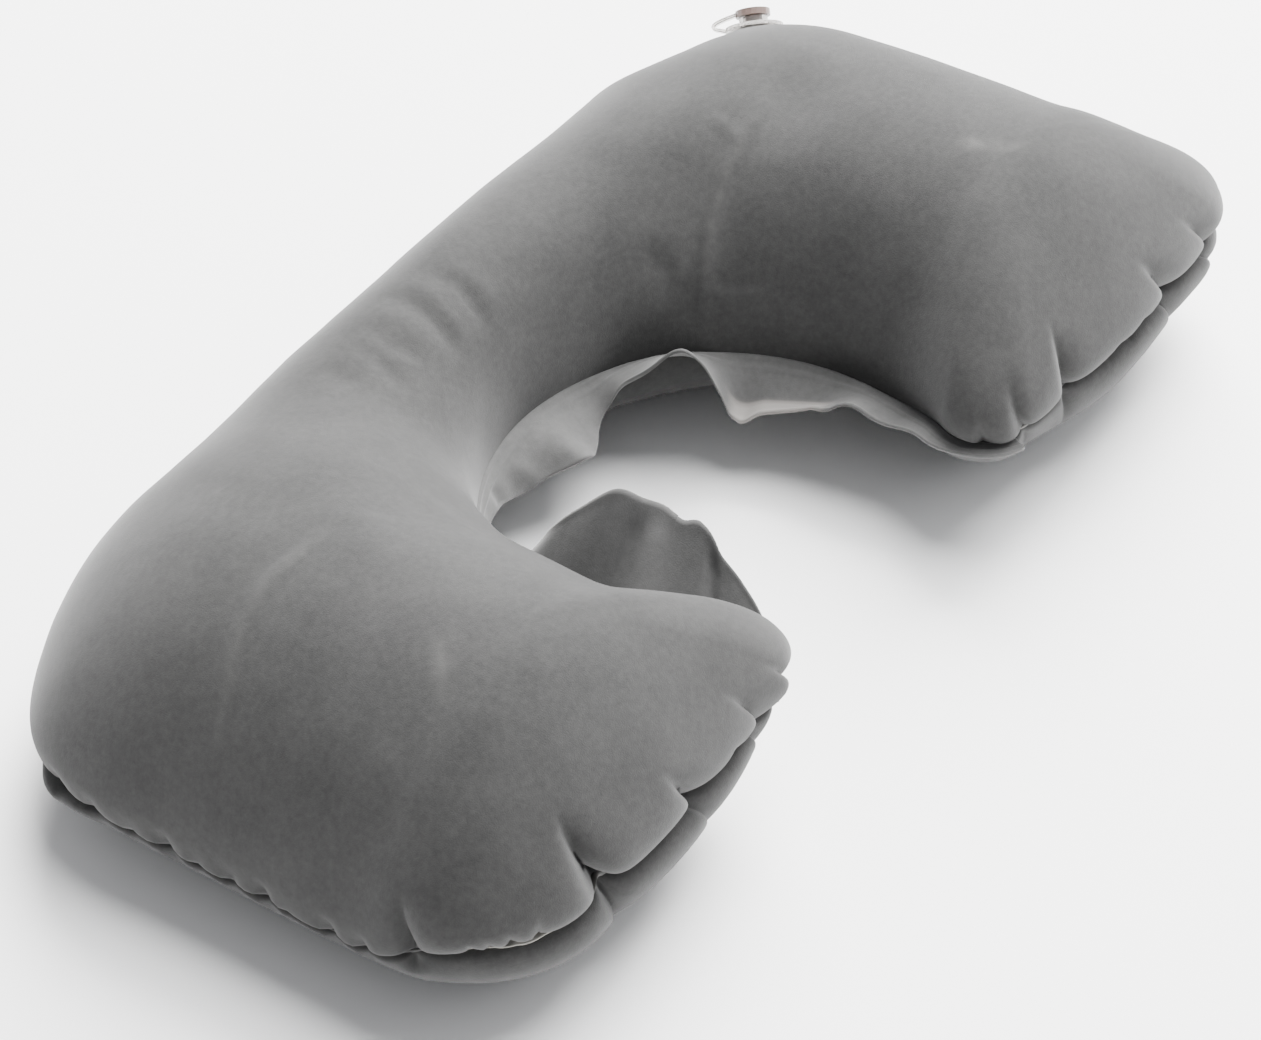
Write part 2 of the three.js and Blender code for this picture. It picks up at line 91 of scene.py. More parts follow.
# Fullness of a section, where 2 is an ellipse, and the lobe that hangs over the weld line
TOP_FULLNESS = 1.94
BELLY_OUTSIDE = 1.8
BELLY_ARM_NECK = 1.75
BELLY_SPINE_NECK = 2.6
LOBE_RISE = 15
SIDE_LOBE = 1.5
TIP_LOBE = 10
INNER_TIP_LOBE = 7
NECK_BELLY_LOBE = 3.5
BELLY_SHARE = 0.8
BELLY_SIDE_SHARE = 0.2

# The lips of the weld: how far it lies back between the panels, and how the lobes close over it
WELD_BACK_SIDE = 3.2
WELD_BACK_TIP = 2.9
LIP_SIDE = 1.6
LIP_TIP = 2.6
LIP_OPENING = 0.9
LIP_HEIGHT = 6
BELLY_LIP = 0.5

# Corners that stand out further: where on the weld line, how far, along what half length and at what rise
CORNER_LOBES = [
    dict(x=-205, y=70, size=5, half=34, rise=12, above=1.0, below=0.0),
    dict(x=-206, y=66, size=8, half=18, rise=5, above=0.0, below=1.0),
    dict(x=-208, y=15, size=-2.6, half=62, rise=11, above=0.0, below=1.0),
    dict(x=-205, y=-60, size=-4, half=34, rise=14, above=0.0, below=1.0),
    dict(x=-66, y=-98, size=5.5, half=30, rise=22, above=1.0, below=0.4),
    dict(x=-76, y=-30, size=7.5, half=36, rise=26, above=1.0, below=0.0),
    dict(x=-95, y=-104, size=5, half=26, rise=16, above=0.0, below=1.0),
    dict(x=205, y=-94, size=3.0, half=22, rise=12, above=0.0, below=0.8),
    dict(x=209, y=-82, size=-2.5, half=24, rise=30, above=1.0, below=0.0),
]

# How finely the skin is cut
SIDE_STEP = 3
TIP_STEP = 0.9
TOP_ROWS = 48
BELLY_ROWS = 30
ROW_BIAS = 1.5

# Gathers drawn into the weld line: where each meets it seen from above, depth, half width, how far it
# runs up the crown and down the belly, and how far it leans towards the near side for each mm upwards
GATHERS = [
    dict(x=-209, y=-70, depth=9, half=3.2, above=28, below=8, lean=0.1),
    dict(x=-201, y=-87, depth=2.6, half=1.5, above=9, below=0.5, lean=0.0),
    dict(x=-197, y=-91, depth=2.8, half=1.4, above=10, below=0.5, lean=0.1),
    dict(x=-193, y=-95, depth=3.0, half=1.4, above=12, below=0.5, lean=0.0),
    dict(x=-188, y=-99, depth=3.2, half=1.6, above=14, below=0.5, lean=-0.1),
    dict(x=-163, y=-104, depth=17, half=3.0, above=38, below=34, lean=0.45),
    dict(x=-121, y=-104, depth=9, half=3.0, above=26, below=24, lean=0.6),
    dict(x=-103, y=-104, depth=5, half=2.2, above=9, below=4, lean=0.3),
    dict(x=-85, y=-104, depth=9, half=3.0, above=26, below=24, lean=0.55),
    dict(x=-68, y=-100, depth=8, half=2.8, above=24, below=22, lean=0.6),
    dict(x=62, y=-97, depth=4, half=2.4, above=14, below=12, lean=0.1),
    dict(x=76, y=-104, depth=7, half=3.0, above=26, below=26, lean=0.35),
    dict(x=101, y=-104, depth=9, half=3.0, above=32, below=28, lean=0.3),
    dict(x=126, y=-104, depth=4, half=2.0, above=8, below=4, lean=0.1),
    dict(x=139, y=-104, depth=5, half=2.0, above=9, below=4, lean=0.1),
    dict(x=159, y=-104, depth=9, half=3.0, above=28, below=26, lean=0.6),
    dict(x=188, y=-104, depth=8, half=2.8, above=26, below=24, lean=0.7),
    dict(x=204, y=-96, depth=4, half=2.2, above=14, below=10, lean=0.2),
    dict(x=211, y=-82, depth=4, half=2.4, above=14, below=10, lean=0.1),
]
NEAR_SIDE_GATHERS_Y = [62, 44, 29, 16, 4, -7, -18, -29, -42, -55]
SIDE_GATHER = dict(depth=4.2, half=2.2, above=11, below=8, lean=0.1)
BACK_GATHER_STEP = 19

# The form of a gather: how round its valley is, the share of its broad shoulders, the factors of its half
# width on the steep and the gentle side, over how many mm it deepens from the weld, the factor of its half
# width for the shoulders, the share of its reach where it starts to fade, and its depth in the lower panel
GATHER_EDGE = 0.25
GATHER_SHOULDER = 0.12
GATHER_STEEP = 0.4
GATHER_GENTLE = 1.15
GATHER_START = 1.2
GATHER_BROAD = 2.6
GATHER_FADE_FROM = 0.1
BELLY_GATHER = 0.55

# How far a gather draws the weld line in and moves it down or up, as shares of its depth, the factors of
# every first and second gather, and how many of its half widths the drawing spreads over
WELD_PULL = 0.1
WELD_LIFT = 0.1
WELD_LIFT_TURNS = (-0.6, 1)
WELD_DRAW_SPREAD = 1.6

# How the rows of small gathers vary in depth and place: a mean and a swing that turns with their number
SIDE_DEPTHS = dict(mean=0.75, swing=0.45, turn=2.3, start=1)
BACK_DEPTHS = dict(mean=0.8, swing=0.4, turn=1.7, start=0)
BACK_SHIFTS = dict(mean=0, swing=4, turn=3.1, start=0)
FAR_GATHER_SHIFT = 4
BACK_GATHERS_EACH_WAY = 9

# A gather is placed only where this share of the weld line, or more, counts as outer edge
OUTSIDE_FROM = 0.3

# Soft creases and ridges of the crown, as routes seen from above; a ridge has a positive height
CREASES = [
    dict(route=[(60, 8), (64, 12), (85, 17), (99, 17), (123, 15), (146, 11)], height=-4.5, half=17),
    dict(route=[(58, 4), (63, 9), (73, 14), (88, 18), (98, 19), (112, 21), (128, 26)], height=1.5, half=2.6),
    dict(route=[(104, 34), (99, 17)], height=0.7, half=2.2),
    dict(route=[(-66, 2), (-95, -8), (-128, 8)], height=-2.6, half=18),
    dict(route=[(-128, 80), (-133, 48), (-132, 23), (-129, 12)], height=-0.8, half=8),
    dict(route=[(-126, 82), (-131, 48), (-130, 23), (-127, 12), (-115, -1), (-109, -14)],
         height=0.28, half=2.2),
    dict(route=[(-129, 11), (-144, 13), (-159, 16), (-172, 14), (-182, 12), (-190, 11), (-199, 5)],
         height=0.55, half=2.8),
    dict(route=[(-131, 16), (-146, 19), (-162, 22), (-178, 18)], height=-0.7, half=7),
    dict(route=[(-20, 76), (-18, 60), (-19, 46)], height=-0.9, half=2.9),
    dict(route=[(-12, 74), (-11, 60), (-13, 47)], height=0.5, half=2.7),
    dict(route=[(-3, 70), (-1, 57), (-3, 46)], height=-0.8, half=2.7),
    dict(route=[(5, 68), (6, 57), (4, 48)], height=0.4, half=2.6),
    dict(route=[(-28, 75), (-27, 60), (-26, 50)], height=0.45, half=2.8),
    dict(route=[(-36, 72), (-37, 58), (-31, 49)], height=-0.7, half=2.9),
    dict(route=[(-44, 69), (-46, 56), (-48, 45)], height=-0.8, half=3.2),
    dict(route=[(-59, 70), (-61, 56)], height=-0.8, half=4.0),
    dict(route=[(58, 30), (61, 17)], height=-0.8, half=3.4),
    dict(route=[(-184, -40), (-191, -57)], height=0.5, half=3.0),
    dict(route=[(120, 94), (160, 94), (214, 76)], height=-5.4, half=24),
    dict(route=[(-50, 104), (10, 104)], height=-1.6, half=14),
    dict(route=[(200, 70), (207, 10), (205, -60), (196, -90)], height=-4.0, half=22),
    dict(route=[(206, 0), (206, -50), (200, -84), (188, -104)], height=-1.0, half=18),
]

# A crease comes in and runs out over these shares of its route
CREASE_IN = (-0.05, 0.3)
CREASE_OUT = (0.7, 1.05)

# The valve sits on the crown as it is packed, so no crease reaches it
VALVE_SEAT = dict(x=182, y=66, half=17)

# Places on the crown paler than the rest: two rubbed places of the flock, and painted highlights along the
# ridge lines of the near arm and of the far corner
SCUFFS_AND_HIGHLIGHTS = [
    dict(route=[(-167, -54), (-151, -42)], half=2.6, share=0.35),
    dict(route=[(127, -45), (139, -63)], half=3.2, share=0.45),
    dict(route=[(-126, 82), (-131, 48), (-130, 23), (-127, 12)], half=1.4, share=0.14),
    dict(route=[(-129, 11), (-144, 13), (-159, 16), (-172, 14), (-199, 5)], half=1.8, share=0.2),
    dict(route=[(63, 9), (73, 14), (88, 18), (98, 19), (112, 21)], half=1.4, share=0.18),
]
SCUFF_AND_HIGHLIGHT_IN = (-0.1, 0.25)
SCUFF_AND_HIGHLIGHT_OUT = (0.75, 1.1)
SCUFF_AND_HIGHLIGHT_GRAIN = 9
SCUFF_AND_HIGHLIGHT_EVEN = 0.65
SCUFF_AND_HIGHLIGHT_LOWEST = 60

# Unevenness of the blown-up skin: wavelength and height of two soft noises
SWELL = dict(length=90, height=0.3)
RIPPLE = dict(length=19, height=0.05)
SEED = 11
NOISE_WAVES = 14
NOISE_SPREAD = (0.7, 1.5)

# Shares of the way from the weld line to the ridge over which the parts of the skin's form fade
CORNER_FADE = (0.2, 0.8)
SQUARE_IN = (0, 0.8)
STRAIGHT_UP = (0.8, 0.97)
UNEVEN_IN = (0, 0.16)
CREASES_IN = (0.02, 0.2)

# The lower panel lies as packed where it touches the surface, and is uneven in full from this height in mm
SETTLED_UNDER = 3

# Places nearer than the first are merged, and edges shorter than the second taken out, in metres
MERGE = 2e-6
DEGENERATE = 1e-7

# The neck skirt: share of the way round the neck from the near arm, its width, its slope at the weld
# above level, and how far the slope has changed by the free edge, in degrees
SKIRT_WAVES = [
    dict(at=-0.064, width=3, slope=30, curl=0),
    dict(at=-0.03, width=5, slope=40, curl=0),
    dict(at=0.0, width=13, slope=36, curl=0),
    dict(at=0.014, width=22, slope=43, curl=0),
    dict(at=0.03, width=35, slope=44, curl=2),
    dict(at=0.055, width=44, slope=43, curl=4),
    dict(at=0.085, width=46, slope=43, curl=4),
    dict(at=0.12, width=50, slope=43, curl=4),
    dict(at=0.155, width=50, slope=48, curl=0),
    dict(at=0.182, width=50, slope=57, curl=-4),
    dict(at=0.22, width=39, slope=58, curl=-6),
    dict(at=0.26, width=21, slope=48, curl=-6),
    dict(at=0.285, width=10, slope=22, curl=-8),
    dict(at=0.31, width=6, slope=-20, curl=-10),
    dict(at=0.34, width=8, slope=-54, curl=-10),
    dict(at=0.37, width=10, slope=-66, curl=-10),
    dict(at=0.4, width=11, slope=-54, curl=-10),
    dict(at=0.44, width=16, slope=-48, curl=-10),
    dict(at=0.47, width=19, slope=-28, curl=-6),
    dict(at=0.5, width=25, slope=-10, curl=-6),
    dict(at=0.55, width=22, slope=-24, curl=-6),
    dict(at=0.585, width=13, slope=-28, curl=-4),
    dict(at=0.605, width=11, slope=4, curl=0),
    dict(at=0.645, width=21, slope=36, curl=6),
    dict(at=0.675, width=27, slope=38, curl=4),
    dict(at=0.7, width=19, slope=24, curl=0),
    dict(at=0.718, width=19, slope=-4, curl=-6),
    dict(at=0.735, width=25, slope=-30, curl=-8),
    dict(at=0.77, width=24, slope=-34, curl=0),
    dict(at=0.83, width=20, slope=-24, curl=10),
    dict(at=0.88, width=17, slope=6, curl=26),
    dict(at=0.93, width=11, slope=-16, curl=10),
    dict(at=0.97, width=9, slope=0, curl=0),
    dict(at=1.0, width=7, slope=0, curl=0),
    dict(at=1.03, width=7, slope=0, curl=0),
    dict(at=1.064, width=4, slope=0, curl=0),
]

# Soft upright folds in the skirt: where they stand and half their width as shares of the way round, their
# depth, and between which shares of the skirt's width they show
SKIRT_FOLDS = [
    dict(at=0.15, half=0.011, depth=-2.2, low=-0.3, high=0.95),
    dict(at=0.122, half=0.012, depth=1.2, low=-0.3, high=0.95),
    dict(at=0.036, half=0.008, depth=-1.8, low=-0.3, high=0.95),
    dict(at=0.415, half=0.008, depth=-1.2, low=0.3, high=1.1),
    dict(at=0.455, half=0.009, depth=1.2, low=0.3, high=1.1),
]
SKIRT_FOLD_IN = 0.3
SKIRT_FOLD_OUT = 0.2

# The turned hem: shares of the way round where it starts and ends, how far it turns, in degrees, and from
# which share of the width
HEM_FOLD = dict(start=0.722, end=0.86, turn=46, along=0.62, bend=0.08, start_over=0.016, end_over=0.03)
# Painted highlight on the turned hem: between these shares of the width about its fold, the hem takes the
# skirt's paler colour for the light it catches
HEM_HIGHLIGHT = (-0.02, 0.04)
HEM_RISE = 0.25
HEM_EDGE = (0.9, 0.97)

# The skirt's film, its fine ruffle and the raised lines of its weld
SKIRT_THICK = 0.8
SKIRT_STEPS = 26
SKIRT_NARROWEST = 3
SKIRT_OVERLAP = 0.3
RUFFLE = dict(height=0.7, length=6.1, drift=1.4, drift_length=23)
WELD_LINES = dict(at=[1.2, 4.4], height=0.45, half=0.55)

# The rim outside the weld line, and the places where it is wide and shows bare film
FLANGE_WIDTH = 0.7
FLANGE_UNEVEN = dict(height=0.15, length=7.7)
FLANGE_BENDS = [dict(height=0.5, length=5.3, start=0), dict(height=0.4, length=2.9, start=1)]
FLANGE_SECTION = ((-0.4, -1), (0.5, -1), (1, -1), (1, 1), (0.5, 1), (-0.4, 1))
FLANGE_END_WIDTH = 0.2
FLANGE_END_TAPER = 9
FLANGE_SHOWS = [
    dict(x=-186, y=-97, half=24, width=4.2),
    dict(x=-212, y=66, half=7, width=3.6),
    dict(x=-209, y=54, half=4, width=3.4),
    dict(x=212, y=-78, half=14, width=4.0),
    dict(x=66, y=-100, half=13, width=3.4),
]
FLANGE_THICK = 0.6

# The skirt runs on past the last neck spoke by both lengths, in mm. The shares 0 and 1 of its table lie
# the second length before its ends
INNER_TIP_FEET_MM = 35
SKIRT_CORNER_MM = 17

# The valve's strap, in metres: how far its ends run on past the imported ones, the rounding of its edges,
# and the distance under which its corners are merged
STRAP_RUN_ON = 0.0011
STRAP_ROUND = 0.0003
STRAP_MERGE = 0.00001

# Angles in radians: faces flatter than the first are joined, and edges over the second are rounded
STRAP_FLATNESS = 0.01
SHARP_EDGE = 1.0

# Clear vinyl
HAZE_SHADE = 0.82
VINYL_IOR = 1.45

# The studio: lights at places in metres, with the size in metres and the power in watts
LIGHTS = [
    dict(name="key", place=(2.0, 0.65, 1.85), size=2.5, power=470, colour=(1, 0.995, 0.985)),
    dict(name="top", place=(0.8, -0.3, 2.6), size=2.2, power=190, colour=(1, 1, 1)),
    dict(name="fill", place=(1.3, -1.6, 1.3), size=1.6, power=16, colour=(0.98, 0.99, 1)),
]
LIGHT_AIM = (0, 0, 0.05)
SKY_COLOUR = (0.96, 0.97, 1, 1)
SKY_STRENGTH = 0.56
FLOOR_SIZE = 8
FLOOR_COLOUR = (0.96, 0.96, 0.96, 1)
FLOOR_ROUGHNESS = 0.9

# The photograph's camera, solved from the outline: degrees, metres, pixels of a 1261 x 1040 image
IMAGE_WIDTH = 1261
IMAGE_HEIGHT = 1040
CAMERA_AZIMUTH = -55.85
CAMERA_ELEVATION = 40.77
CAMERA_DISTANCE = 1.46988
CAMERA_FOCAL = 4661.15
CAMERA_TARGET_Z = 0.045
TARGET_PIXEL = (617.12, 437.1)
SENSOR_WIDTH = 36
CLIP_END = 20

BACK_Y = DEPTH / 2
TIP_Y = -DEPTH / 2
NECK_Y = BACK_Y - SPINE_WIDTH - NECK_RADIUS
RIDGE_X = NECK_RADIUS + (WIDTH / 2 - NECK_RADIUS) * RIDGE_INSET
RIDGE_BACK_Y = BACK_Y - SPINE_WIDTH / 2
MM = 0.001

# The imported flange's box shows how far the solids' frame is shifted from the plan frame
PACKED_FLANGE_GAP = 0.4
PACKED_FLANGE_WIDTH = 3
FLANGE_REACH = PACKED_FLANGE_GAP + PACKED_FLANGE_WIDTH
flange_low, flange_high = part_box("weld_flange")
SHIFT = np.array([
    flange_low.x / MM + WIDTH / 2 + NEAR_SPLAY + FLANGE_REACH,
    flange_high.y / MM - BACK_Y - FLANGE_REACH,
    0,
])


def ramp(low, high, value):
    t = np.clip((value - low) / (high - low), 0, 1)
    return t * t * (3 - 2 * t)


def mix(a, b, share):
    return a + (b - a) * share


def arc(centre_x, centre_y, radius, start, end, steps=48):
    angle = np.radians(np.linspace(start, end, steps + 1))
    return np.column_stack([centre_x + radius * np.cos(angle), centre_y + radius * np.sin(angle)])


def evenly(run, step):
    """Points spaced evenly along an open run, both ends kept."""
    walked = np.r_[0, np.cumsum(np.hypot(*np.diff(run, axis=0).T))]
    at = np.linspace(0, walked[-1], round(walked[-1] / step) + 1)
    return np.column_stack([np.interp(at, walked, run[:, axis]) for axis in (0, 1)])


def tip_run(side):
    """The weld line round one tip, from the neck side out to the outer side."""
    outer_x = WIDTH / 2 + (NEAR_SPLAY if side < 0 else FAR_SPLAY)
    outer_round = NEAR_TIP_ROUND if side < 0 else FAR_TIP_ROUND
    inner_y = TIP_Y + INNER_TIP_ROUND
    inner_x = math.sqrt((NECK_RADIUS + INNER_TIP_ROUND) ** 2 - (inner_y - NECK_Y) ** 2)
    neck_top = math.degrees(math.asin((TIP_CENTRE_Y - NECK_Y) / NECK_RADIUS))
    neck_end = math.degrees(math.atan2(inner_y - NECK_Y, inner_x))
    run = np.vstack([
        arc(0, NECK_Y, NECK_RADIUS, neck_top, neck_end),
        arc(inner_x, inner_y, INNER_TIP_ROUND, neck_end + 180, 270),
        arc(outer_x - outer_round, TIP_Y + outer_round, outer_round, 270, 360),
        [[outer_x, TIP_CENTRE_Y]],
    ])
    return run * [side, 1]


def back_run():
    """The weld line outside, from the near arm round the back to the far arm."""
    return np.vstack([
        [[-WIDTH / 2 - NEAR_SPLAY, TIP_CENTRE_Y]],
        arc(-WIDTH / 2 + NEAR_BACK_ROUND, BACK_Y - NEAR_BACK_ROUND, NEAR_BACK_ROUND, 180, 90),
        arc(WIDTH / 2 - FAR_BACK_ROUND, BACK_Y - FAR_BACK_ROUND, FAR_BACK_ROUND, 90, 0),
        [[WIDTH / 2 + FAR_SPLAY, TIP_CENTRE_Y]],
    ])


def across(feet):
    """The ridge points and the neck weld points that face points of the outer weld line."""
    x, y = feet.T
    side = np.where(x < 0, -1.0, 1.0)
    away = np.hypot(x, y - NECK_Y)
    cos, sin = x / away, (y - NECK_Y) / away
    n = RIDGE_SQUARENESS
    spread = np.abs(cos / RIDGE_X) ** n + np.abs(sin / (RIDGE_BACK_Y - NECK_Y)) ** n
    reach = spread ** (-1 / n)
    low = y <= NECK_Y
    level = np.sqrt(np.maximum(NECK_RADIUS ** 2 - (y - NECK_Y) ** 2, 0))
    ridge = np.where(low[:, None], np.column_stack([side * RIDGE_X, y]),
                     np.column_stack([cos * reach, NECK_Y + sin * reach]))
    neck = np.where(low[:, None], np.column_stack([side * level, y]),
                    np.column_stack([cos * NECK_RADIUS, NECK_Y + sin * NECK_RADIUS]))
    return ridge, neck


def lay_out_spokes():
    """All spokes in order round the weld line: outer side, far tip, neck side, near tip."""
    outer = evenly(back_run(), SIDE_STEP)
    ridge, neck = across(outer)
    feet, ridges, neckness, kinds = [outer], [ridge], [np.zeros(len(outer))], [np.zeros(len(outer))]

    def add_tip(side, points):
        feet.append(points)
        ridges.append(np.tile([side * RIDGE_X, TIP_CENTRE_Y], (len(points), 1)).astype(float))
        neckness.append(ramp(RIDGE_X, NECK_RADIUS, np.abs(points[:, 0])))
        kinds.append(np.full(len(points), 1.0))

    add_tip(1, evenly(tip_run(1), TIP_STEP)[1:-1][::-1])
    feet.append(neck[::-1])
    ridges.append(ridge[::-1])
    neckness.append(np.ones(len(neck)))
    kinds.append(np.full(len(neck), 2.0))
    add_tip(-1, evenly(tip_run(-1), TIP_STEP)[1:-1])
    foot = np.vstack(feet)
    loop = np.vstack([foot, foot[:1]])
    walked = np.r_[0, np.cumsum(np.hypot(*np.diff(loop, axis=0).T))]
    return dict(foot=foot, ridge=np.vstack(ridges), neckness=np.concatenate(neckness),
                kind=np.concatenate(kinds), walked=walked[:-1], total=walked[-1])


def tip_share(y):
    """How much of a point's setting is tip, from 0 up the arm to 1 at its end."""
    return ramp(TIP_Y + TIP_BAND[0], TIP_Y + TIP_BAND[1], y)


def outside_share(spokes):
    """From 1 where the weld line is the pillow's outer edge to 0 where it is the neck's edge."""
    x, y = spokes["foot"].T
    inner_tip = 1 - ramp(TIP_Y + INNER_TIP_BAND[0], TIP_Y + INNER_TIP_BAND[1], y)
    tip = np.where(np.abs(x) > RIDGE_X, 1, np.maximum(inner_tip, 1 - spokes["neckness"]))
    return np.where(spokes["kind"] == 1, tip, 1 - spokes["neckness"])


def seam_height(spokes):
    x, y = spokes["foot"].T
    near_side = SEAM_SIDE - NEAR_SEAM_DIP * ramp(*NEAR_SIDE_BAND, x)
    outside = mix(near_side, SEAM_BACK, ramp(BACK_Y - BACK_BAND[0], BACK_Y - BACK_BAND[1], y))
    return mix(mix(outside, SEAM_NECK, spokes["neckness"]), SEAM_TIP, tip_share(y))


def uneven(row, k):
    return row["mean"] + row["swing"] * math.sin(row["turn"] * k + row["start"])


def all_gathers(spokes):
    """The gathers of the table and those along the sides and the back, each with its place on the weld."""
    rows = [dict(row) for row in GATHERS]
    deep = SIDE_GATHER["depth"]
    for k, y in enumerate(NEAR_SIDE_GATHERS_Y):
        size = uneven(SIDE_DEPTHS, k)
        rows.append(dict(SIDE_GATHER, x=-WIDTH / 2, y=y, depth=deep * size))
        rows.append(dict(SIDE_GATHER, x=WIDTH / 2, y=y + FAR_GATHER_SHIFT, depth=deep * (2 - size)))
    for k in range(-BACK_GATHERS_EACH_WAY, BACK_GATHERS_EACH_WAY + 1):
        x = k * BACK_GATHER_STEP + uneven(BACK_SHIFTS, k)
        rows.append(dict(SIDE_GATHER, x=x, y=BACK_Y, depth=deep * uneven(BACK_DEPTHS, k)))
    outer = np.where(outside_share(spokes) > OUTSIDE_FROM)[0]
    for row in rows:
        off = np.hypot(spokes["foot"][outer, 0] - row["x"], spokes["foot"][outer, 1] - row["y"])
        row["place"] = spokes["walked"][outer[np.argmin(off)]]
    return rows


def along_weld(spokes, place):
    half = spokes["total"] / 2
    return (spokes["walked"] - place + half) % spokes["total"] - half


def gather_depth(spokes, gathers, path, is_top):
    """How deep the gathers draw the skin in, at path lengths from each foot of the weld line."""
    depth = np.zeros_like(path)
    for row in gathers:
        reach = row["above"] if is_top else row["below"]
        lean = row["lean"] if is_top else -row["lean"]
        off = along_weld(spokes, row["place"]) - lean * path
        side = np.where(off > 0, GATHER_STEEP, GATHER_GENTLE)
        u = np.abs(off) / (row["half"] * side)
        valley = np.exp(-(np.sqrt(u * u + GATHER_EDGE ** 2) - GATHER_EDGE))
        broad = np.exp(-(off / (row["half"] * GATHER_BROAD)) ** 2)
        shape = (1 - GATHER_SHOULDER) * valley + GATHER_SHOULDER * broad
        fade = 1 - ramp(reach * GATHER_FADE_FROM, reach, path)
        depth = np.maximum(depth, row["depth"] * shape * fade)
    return depth * (1 - np.exp(-path / GATHER_START))


def drawn_feet(spokes, gathers):
    """The weld line as the gathers leave it: drawn in and lifted a little at each one."""
    pull = np.zeros(len(spokes["walked"]))
    lift = np.zeros_like(pull)
    for k, row in enumerate(gathers):
        bell = np.exp(-(along_weld(spokes, row["place"]) / (row["half"] * WELD_DRAW_SPREAD)) ** 2)
        pull = np.maximum(pull, WELD_PULL * row["depth"] * bell)
        lift += WELD_LIFT * row["depth"] * bell * WELD_LIFT_TURNS[k % 2]
    inward = spokes["ridge"] - spokes["foot"]
    inward /= np.linalg.norm(inward, axis=1)[:, None]
    outside = outside_share(spokes)
    pull += mix(WELD_BACK_SIDE, WELD_BACK_TIP, tip_share(spokes["foot"][:, 1]))
    return spokes["foot"] + inward * (pull * outside)[:, None], lift * outside


def round_share(spokes):
    """Share of a tip spoke's length at which the round contour inside the tip meets it."""
    foot, ridge = spokes["foot"], spokes["ridge"]
    dx, dy = (foot - ridge).T
    outer = (foot[:, 0] * ridge[:, 0] > 0) & (np.abs(foot[:, 0]) > RIDGE_X)
    splay = np.where(ridge[:, 0] < 0, NEAR_SPLAY, FAR_SPLAY)
    half_width = np.where(outer, WIDTH / 2 + splay - RIDGE_X, INNER_TIP_WIDTH)
    reach = np.hypot(dx / half_width, dy / (TIP_CENTRE_Y - TIP_Y))
    share = (1 + reach ** TIP_SOFTNESS) ** (-1 / TIP_SOFTNESS)
    return mix(1, share, ramp(0, TIP_BLEND, TIP_CENTRE_Y - foot[:, 1]))


def skin(spokes, gathers, shares, is_top):
    """Rows of skin points, one row for each share of the way from the weld line to the ridge."""
    drawn, lift = drawn_feet(spokes, gathers)
    foot, ridge, neckness = spokes["foot"], spokes["ridge"], spokes["neckness"]
    back = np.linalg.norm(drawn - foot, axis=1)
    share = np.asarray(shares)[:, None]
    seam = seam_height(spokes) + (SEAM_FACE if is_top else -SEAM_FACE) / 2
    arm = ramp(SPINE_END, ARM_START, np.abs(ridge[:, 0]))
    crown = mix(SPINE_HEIGHT, ARM_HEIGHT, arm)
    belly = mix(SPINE_LIFT, -ARM_SINK, arm)
    at_neck = mix(BELLY_SPINE_NECK, BELLY_ARM_NECK, arm)
    fullness = TOP_FULLNESS if is_top else mix(BELLY_OUTSIDE, at_neck, neckness)
    power = 2 / fullness
    turn = np.radians(90 * share)
    length = np.linalg.norm(ridge - foot, axis=1)
    run = length * (1 - np.maximum(0, np.cos(turn)) ** power)
    rise = np.abs((crown if is_top else belly) - seam) * np.sin(turn) ** power
    tip = tip_share(foot[:, 1])
    if is_top:
        size = mix(mix(SIDE_LOBE, 0, neckness), mix(TIP_LOBE, INNER_TIP_LOBE, neckness), tip)
    else:
        outer_size = mix(SIDE_LOBE * BELLY_SIDE_SHARE, TIP_LOBE * BELLY_SHARE, tip)
        size = mix(outer_size, NECK_BELLY_LOBE * (1 - arm), neckness)
    tall = rise / LOBE_RISE
    lobe = size * tall * np.exp(1 - tall)
    lip = mix(LIP_SIDE, LIP_TIP, tip) * (1 if is_top else BELLY_LIP) * np.exp(-rise / LIP_HEIGHT)
    at_weld = np.exp(-rise / LIP_OPENING)
    outside = outside_share(spokes)
    lobe += lip * (1 - at_weld) * outside - back * at_weld
    for row in CORNER_LOBES:
        near = np.hypot(foot[:, 0] - row["x"], foot[:, 1] - row["y"]) / row["half"]
        part = row["above"] if is_top else row["below"]
        high = rise / row["rise"]
        bulge = row["size"] * part * np.exp(-near ** 2) * high * np.exp(1 - high)
        lobe += bulge * (1 - ramp(*CORNER_FADE, share))
    path = np.hypot(run, rise)
    gather = gather_depth(spokes, gathers, path, is_top) * (1 if is_top else BELLY_GATHER) * outside
    squareness = mix(1, round_share(spokes), ramp(*SQUARE_IN, share))
    inward = 1 - (1 - (run - lobe + gather * np.cos(turn)) / length) * squareness
    inward = np.where(share >= 1, 1, inward)
    x = mix(foot[:, 0], ridge[:, 0], inward)
    y = mix(foot[:, 1], ridge[:, 1], inward)
    drop = gather * np.sin(turn)
    seam = seam + lift * np.exp(-rise / LIP_HEIGHT)
    height = seam + rise - drop if is_top else np.maximum(0, seam - rise + drop)
    return np.stack([x, y, height + 0 * x], axis=-1)


def noise(points, length, seed):
    """A soft noise from -1 to 1 over points in millimetres: sums of seeded waves."""
    rng = np.random.default_rng(seed)
    total = np.zeros(points.shape[:-1])
    for _ in range(NOISE_WAVES):
        direction = rng.normal(size=3)
        direction *= rng.uniform(*NOISE_SPREAD) / np.linalg.norm(direction)
        total += np.sin(points @ direction * (2 * math.pi / length) + rng.uniform(0, 2 * math.pi))
    return total / math.sqrt(NOISE_WAVES)


